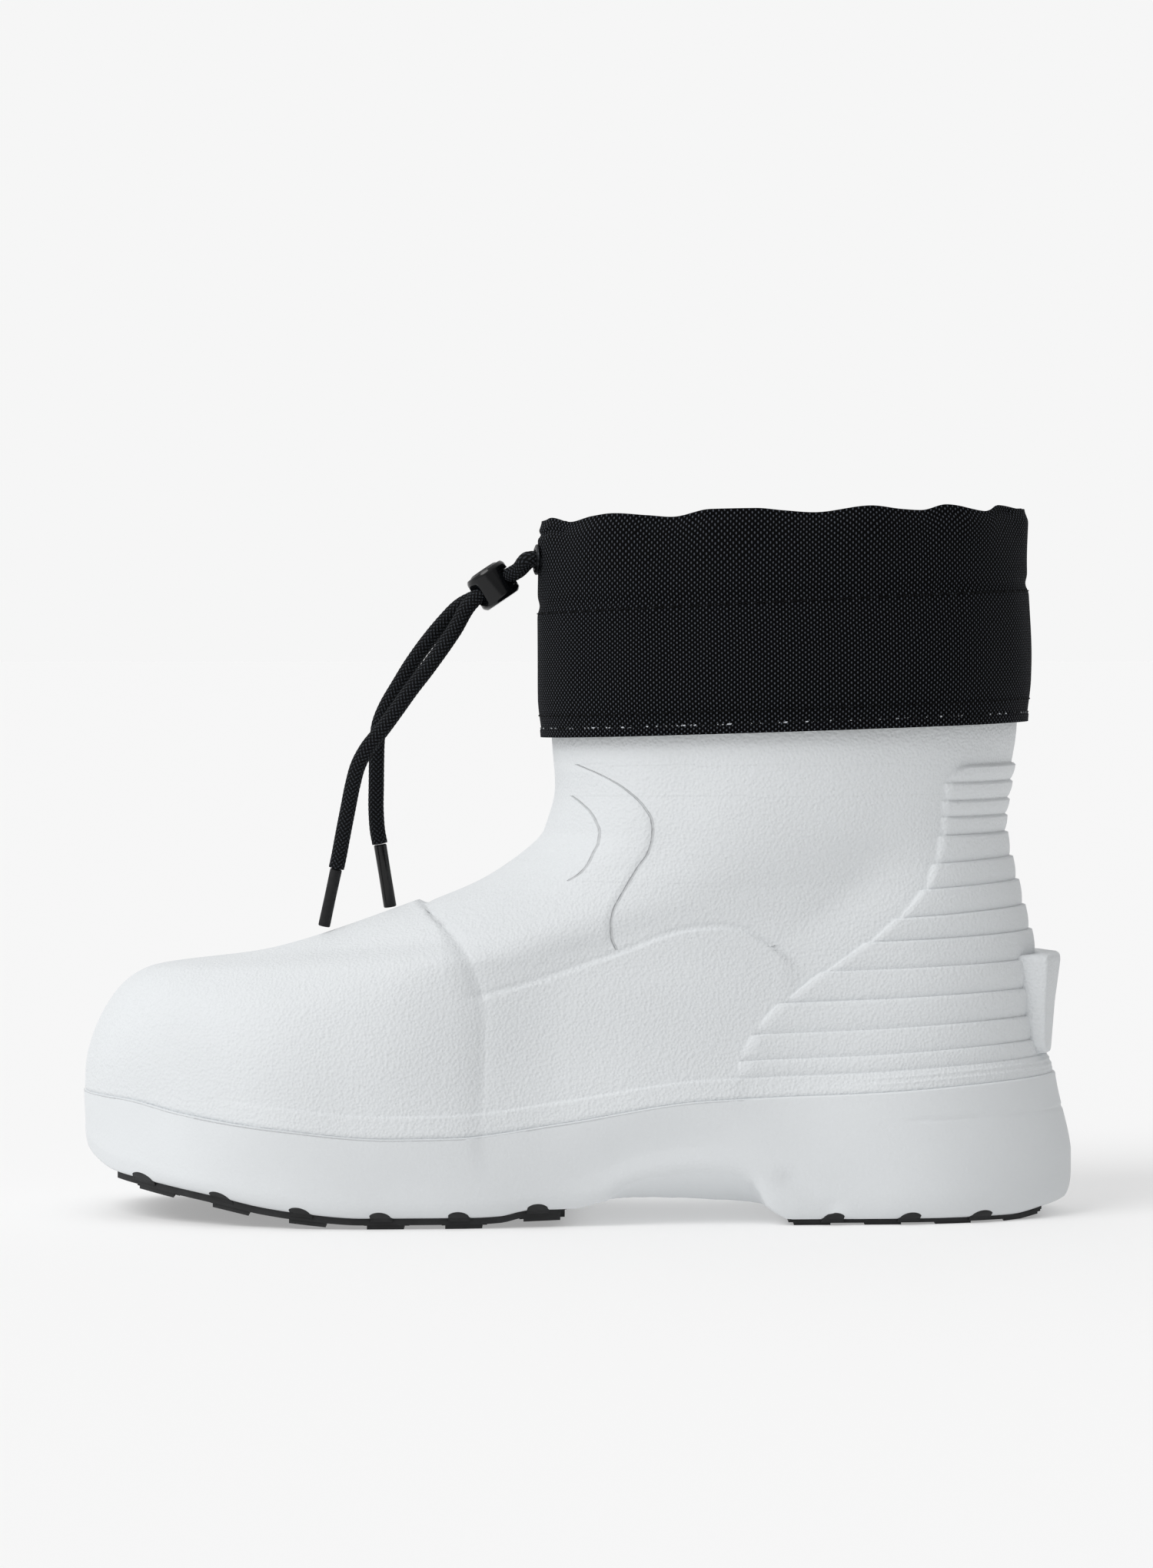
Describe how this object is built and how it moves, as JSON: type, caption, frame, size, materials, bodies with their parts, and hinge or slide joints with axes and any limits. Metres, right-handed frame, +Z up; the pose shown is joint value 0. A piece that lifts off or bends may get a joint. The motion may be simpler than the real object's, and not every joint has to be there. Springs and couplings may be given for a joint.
{
  "type": "winter boot",
  "caption": "Low moulded foam winter boot with a canvas cuff, drawcord and cord lock, rubber tread and hollow inside.",
  "frame": {"origin": "middle of the boot's box on the floor, measured without the drawcord and what is on it", "axes": "+Z up, toe towards -X, heel towards +X, outer side of the left foot towards -Y"},
  "size_m": [0.2908, 0.1104, 0.2061],
  "materials": {
    "foam": "white closed-cell EVA foam, moulded, fine pebble grain",
    "insole": "grey felt over foam board",
    "tread_rubber": "black moulded rubber, matte",
    "canvas": "black plain-weave canvas, matte",
    "eyelet": "black oxidised metal",
    "braid": "black round braid",
    "lock_plastic": "black moulded plastic, glossy",
    "aglet": "black shrink sleeve"
  },
  "bodies": {
    "root": {"upper": "foam", "midsole": "foam", "insole": "insole", "outsole_forefoot": "tread_rubber", "outsole_heel": "tread_rubber", "cuff": "canvas", "eyelet_left": "eyelet", "eyelet_right": "eyelet", "drawcord_left": "braid", "drawcord_right": "braid", "cord_lock": "lock_plastic", "cord_lock_button": "lock_plastic", "aglet_left": "aglet", "aglet_right": "aglet"}
  },
  "joints": []
}
